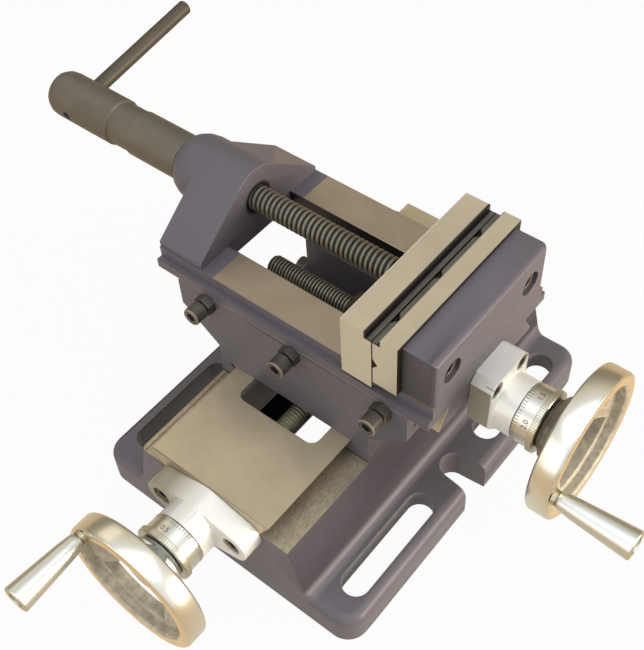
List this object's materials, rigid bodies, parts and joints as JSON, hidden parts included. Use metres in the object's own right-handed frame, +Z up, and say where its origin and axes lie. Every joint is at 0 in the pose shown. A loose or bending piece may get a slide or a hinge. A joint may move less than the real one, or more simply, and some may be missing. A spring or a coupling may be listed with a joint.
{
  "type": "cross slide vise",
  "caption": "Drill press vise on two crossed dovetail slides, each driven by a lead screw with dial and handwheel; jaws closed by a screw with a lever.",
  "frame": {"origin": "centre of the base casting's underside, on its middle rib, midway between the four hold-down slots", "axes": "+X along the upper slide from the clamp screw to the upper handwheel, +Y along the lower slide away from the lower handwheel, +Z up"},
  "size_m": [0.3958, 0.3242, 0.164],
  "materials": {
    "painted_casting": "semi gloss grey paint on cast iron",
    "machined_steel": "ground and milled",
    "chrome": "polished",
    "oxide_steel": "black oxide, turned",
    "bronze": "machined bronze",
    "black_screws": "black oxide"
  },
  "bodies": {
    "base": {"base_casting": "painted_casting", "lower_screw_bracket": "chrome", "lower_bracket_screws": "black_screws"},
    "saddle": {"saddle_casting": "painted_casting", "upper_gib": "machined_steel", "lower_gib": "machined_steel", "upper_gib_screws": "black_screws", "upper_gib_locknuts": "black_screws", "lower_gib_screws": "black_screws", "lower_gib_locknuts": "black_screws", "upper_lead_nut": "bronze", "lower_lead_nut": "bronze", "upper_nut_screws": "black_screws", "lower_nut_screws": "black_screws"},
    "vise": {"vise_body_casting": "painted_casting", "upper_screw_bracket": "chrome", "upper_bracket_screws": "black_screws", "fixed_jaw_plate": "machined_steel", "fixed_jaw_screws": "black_screws"},
    "jaw": {"movable_jaw": "machined_steel", "jaw_keeper_plate": "machined_steel", "jaw_keeper_screws": "black_screws", "jaw_retaining_pins": "machined_steel"},
    "clamp": {"clamp_screw": "oxide_steel", "clamp_lever": "oxide_steel"},
    "upper_spindle": {"upper_lead_screw": "machined_steel", "upper_handwheel": "chrome", "upper_wheel_pin": "machined_steel", "upper_handle_stud": "machined_steel"},
    "lower_spindle": {"lower_lead_screw": "machined_steel", "lower_handwheel": "chrome", "lower_wheel_pin": "machined_steel", "lower_handle_stud": "machined_steel"},
    "upper_dial_ring": {"upper_dial": "chrome"},
    "lower_dial_ring": {"lower_dial": "chrome"},
    "upper_grip": {"upper_handle": "chrome"},
    "lower_grip": {"lower_handle": "chrome"}
  },
  "joints": [
    {"name": "saddle_slide", "type": "slide", "parent": "base", "child": "saddle", "axis": [0, 1, 0], "range_m": [-0.054, 0.046]},
    {"name": "body_slide", "type": "slide", "parent": "saddle", "child": "vise", "axis": [1, 0, 0], "range_m": [-0.05, 0.05]},
    {"name": "jaw_slide", "type": "slide", "parent": "vise", "child": "jaw", "axis": [1, 0, 0], "range_m": [-0.082, 0]},
    {"name": "clamp_turn", "type": "hinge", "parent": "jaw", "child": "clamp", "pos_m": [0, 0.004, 0.145], "axis": [1, 0, 0], "range_deg": [-9841, 1]},
    {"name": "upper_screw_turn", "type": "hinge", "parent": "vise", "child": "upper_spindle", "pos_m": [0.0852, 0.004, 0.098], "axis": [1, 0, 0], "range_deg": [-9001, 9001]},
    {"name": "lower_screw_turn", "type": "hinge", "parent": "base", "child": "lower_spindle", "pos_m": [0, -0.1113, 0.053], "axis": [0, -1, 0], "range_deg": [-9721, 8281]},
    {"name": "upper_dial_turn", "type": "hinge", "parent": "upper_spindle", "child": "upper_dial_ring", "pos_m": [0.1152, 0.004, 0.098], "axis": [1, 0, 0], "continuous": true},
    {"name": "lower_dial_turn", "type": "hinge", "parent": "lower_spindle", "child": "lower_dial_ring", "pos_m": [0, -0.1413, 0.053], "axis": [0, -1, 0], "continuous": true},
    {"name": "upper_handle_turn", "type": "hinge", "parent": "upper_spindle", "child": "upper_grip", "pos_m": [0.167, -0.03193, 0.10241], "axis": [1, 0, 0], "continuous": true},
    {"name": "lower_handle_turn", "type": "hinge", "parent": "lower_spindle", "child": "lower_grip", "pos_m": [-0.02351, -0.193, 0.08053], "axis": [0, -1, 0], "continuous": true}
  ],
  "couplings": [
    {"joint": "clamp_turn", "follows": "jaw_slide", "rad_per_m": 2094.4},
    {"joint": "upper_screw_turn", "follows": "body_slide", "rad_per_m": 3141.6},
    {"joint": "lower_screw_turn", "follows": "saddle_slide", "rad_per_m": 3141.6}
  ]
}
